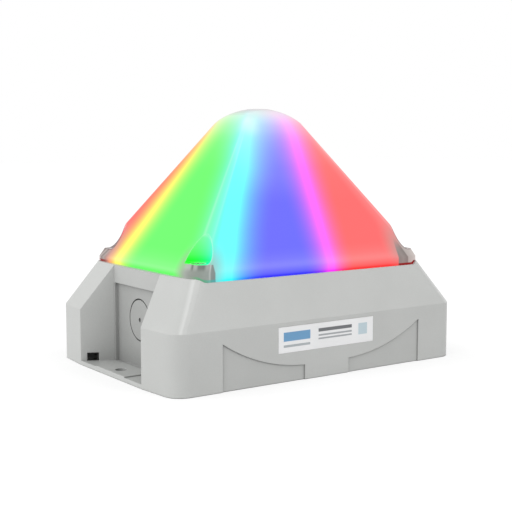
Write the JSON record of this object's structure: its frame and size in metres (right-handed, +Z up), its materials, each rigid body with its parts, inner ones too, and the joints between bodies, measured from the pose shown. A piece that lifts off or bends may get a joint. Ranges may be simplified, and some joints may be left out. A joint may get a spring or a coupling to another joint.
{
  "type": "led signal beacon",
  "caption": "Rectangular signal beacon: a moulded housing with cable recesses and floor ears at its ends carries a clear pyramid lens over a tower of light boards.",
  "frame": {"origin": "centre of the mounting face", "axes": "+X along the long side, +Y from the labelled front to the rear, +Z up towards the lens"},
  "size_m": [0.21, 0.142, 0.1562],
  "materials": {
    "housing_plastic": "light grey moulded plastic, satin",
    "lens_clear": "clear polished plastic",
    "label_paper": "white film, matt",
    "seal_rubber": "black rubber",
    "screw_steel": "bright steel",
    "board_laminate": "green lacquered laminate",
    "light_board_laminate": "white lacquered laminate",
    "light_chip": "yellow-white lens resin",
    "terminal_plastic": "green moulded plastic",
    "clamp_brass": "plated brass",
    "capacitor_can": "sleeved aluminium can",
    "chip_resin": "black resin",
    "plug_plastic": "cream moulded plastic",
    "lead_sleeve": "black sleeved leads",
    "carrier_metal": "cast, bare",
    "spacer_metal": "turned, nickel plated"
  },
  "bodies": {
    "root": {"housing": "housing_plastic", "lens": "lens_clear", "front_label": "label_paper", "lens_gasket": "seal_rubber", "screw_seals": "seal_rubber", "lens_screws": "screw_steel", "board_screws": "screw_steel", "spacer_screws": "screw_steel", "carrier_screws": "screw_steel", "led_board_screws": "screw_steel", "main_board": "board_laminate", "front_led_board": "light_board_laminate", "rear_led_board": "light_board_laminate", "left_led_board": "light_board_laminate", "right_led_board": "light_board_laminate", "top_led_board": "light_board_laminate", "front_leds": "light_chip", "rear_leds": "light_chip", "left_leds": "light_chip", "right_leds": "light_chip", "top_leds": "light_chip", "terminal_block": "terminal_plastic", "terminal_screws": "clamp_brass", "capacitors": "capacitor_can", "driver_chips": "chip_resin", "inductor": "chip_resin", "board_sockets": "plug_plastic", "led_connectors": "plug_plastic", "led_leads": "lead_sleeve", "led_carrier": "carrier_metal", "carrier_spacers": "spacer_metal"}
  },
  "joints": []
}
